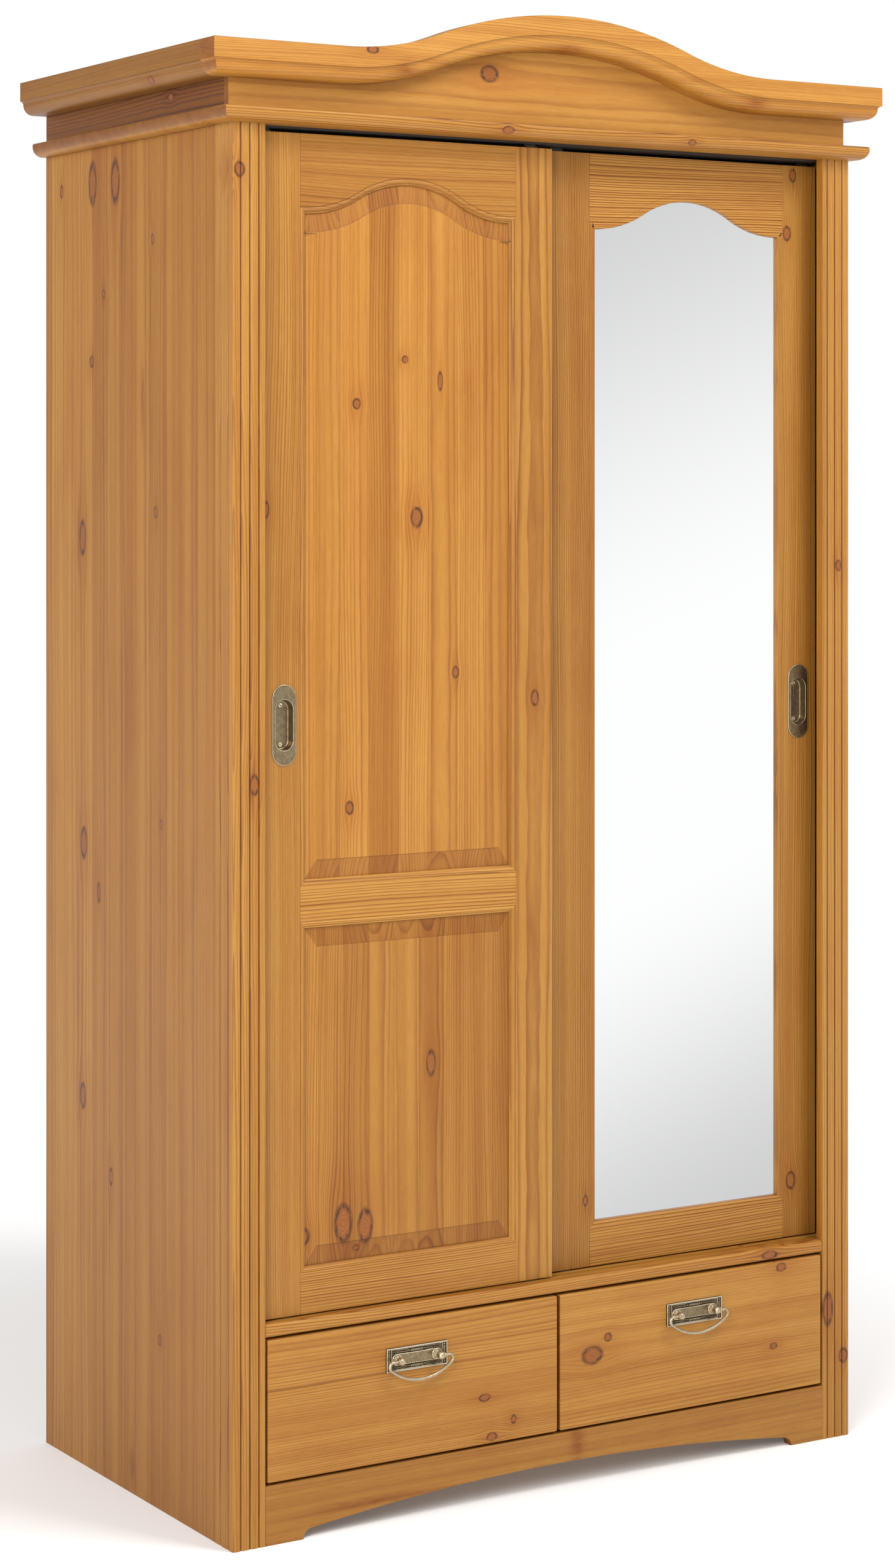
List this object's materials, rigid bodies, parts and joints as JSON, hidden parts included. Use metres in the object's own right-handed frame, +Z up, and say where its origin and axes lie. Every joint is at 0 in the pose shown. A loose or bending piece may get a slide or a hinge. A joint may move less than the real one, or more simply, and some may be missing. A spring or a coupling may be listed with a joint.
{
  "type": "wardrobe",
  "caption": "Solid pine wardrobe with a panelled and a mirrored sliding door, drawers below with bail pulls, reeded corner posts and an arched crown.",
  "frame": {"origin": "on the floor, under the middle of the whole piece", "axes": "+Z up, front looks towards -Y, +X to the right of someone facing the front"},
  "size_m": [1.124, 0.618, 2.0795],
  "materials": {
    "pine_front": "oiled honey pine, satin",
    "pine_side": "oiled honey pine, edge-glued staves",
    "pine_panel": "oiled honey pine, raised panel",
    "pine_inner": "pale planed pine",
    "back_board": "pale planed pine boards",
    "antique_brass": "antiqued, dark in the hollows",
    "mirror": "silvered glass",
    "nylon": "cream nylon",
    "dark_plastic": "dark brown moulded"
  },
  "bodies": {
    "carcass": {"post_left": "pine_front", "post_right": "pine_front", "side_panel_left": "pine_side", "side_panel_right": "pine_side", "plinth_board": "pine_front", "rear_plinth": "pine_inner", "bottom_board": "pine_inner", "drawer_divider": "pine_inner", "floor_board": "pine_front", "top_board": "pine_front", "back_boards": "back_board", "door_top_track": "dark_plastic", "hat_shelf": "pine_inner", "shelf_battens": "pine_inner", "hanging_rail": "pine_inner", "rail_sockets": "pine_side", "drawer_guides": "pine_inner", "frieze_front": "pine_front", "frieze_left": "pine_side", "frieze_right": "pine_side", "cornice_front": "pine_front", "cornice_left": "pine_side", "cornice_right": "pine_side", "crown_blocks": "pine_inner"},
    "left_door": {"left_door_outer_stile": "pine_front", "left_door_inner_stile": "pine_front", "left_door_top_rail": "pine_front", "left_door_middle_rail": "pine_front", "left_door_bottom_rail": "pine_front", "left_door_upper_panel": "pine_panel", "left_door_lower_panel": "pine_panel", "left_door_flush_pull": "antique_brass", "left_door_pull_screws": "antique_brass", "left_door_top_guides": "dark_plastic", "left_door_glides": "nylon"},
    "right_door": {"right_door_inner_stile": "pine_front", "right_door_outer_stile": "pine_front", "right_door_top_rail": "pine_front", "right_door_bottom_rail": "pine_front", "mirror_glass": "mirror", "mirror_backing": "pine_inner", "right_door_flush_pull": "antique_brass", "right_door_pull_screws": "antique_brass", "right_door_top_guides": "dark_plastic", "right_door_glides": "nylon"},
    "left_drawer": {"left_drawer_front": "pine_front", "left_drawer_sides": "pine_inner", "left_drawer_back": "pine_inner", "left_drawer_bottom": "pine_inner", "left_drawer_pull_plate": "antique_brass", "left_drawer_pull_posts": "antique_brass"},
    "right_drawer": {"right_drawer_front": "pine_front", "right_drawer_sides": "pine_inner", "right_drawer_back": "pine_inner", "right_drawer_bottom": "pine_inner", "right_drawer_pull_plate": "antique_brass", "right_drawer_pull_posts": "antique_brass"},
    "left_bail": {"left_drawer_bail": "antique_brass"},
    "right_bail": {"right_drawer_bail": "antique_brass"}
  },
  "joints": [
    {"name": "left_door_slide", "type": "slide", "parent": "carcass", "child": "left_door", "axis": [1, 0, 0], "range_m": [0, 0.492]},
    {"name": "right_door_slide", "type": "slide", "parent": "carcass", "child": "right_door", "axis": [-1, 0, 0], "range_m": [0, 0.486]},
    {"name": "left_drawer_slide", "type": "slide", "parent": "carcass", "child": "left_drawer", "axis": [0, -1, 0], "range_m": [0, 0.38]},
    {"name": "right_drawer_slide", "type": "slide", "parent": "carcass", "child": "right_drawer", "axis": [0, -1, 0], "range_m": [0, 0.38]},
    {"name": "left_bail_swing", "type": "hinge", "parent": "left_drawer", "child": "left_bail", "pos_m": [-0.23475, -0.295, 0.222], "axis": [-1, 0, 0], "range_deg": [0, 95]},
    {"name": "right_bail_swing", "type": "hinge", "parent": "right_drawer", "child": "right_bail", "pos_m": [0.23475, -0.295, 0.222], "axis": [-1, 0, 0], "range_deg": [0, 95]}
  ]
}
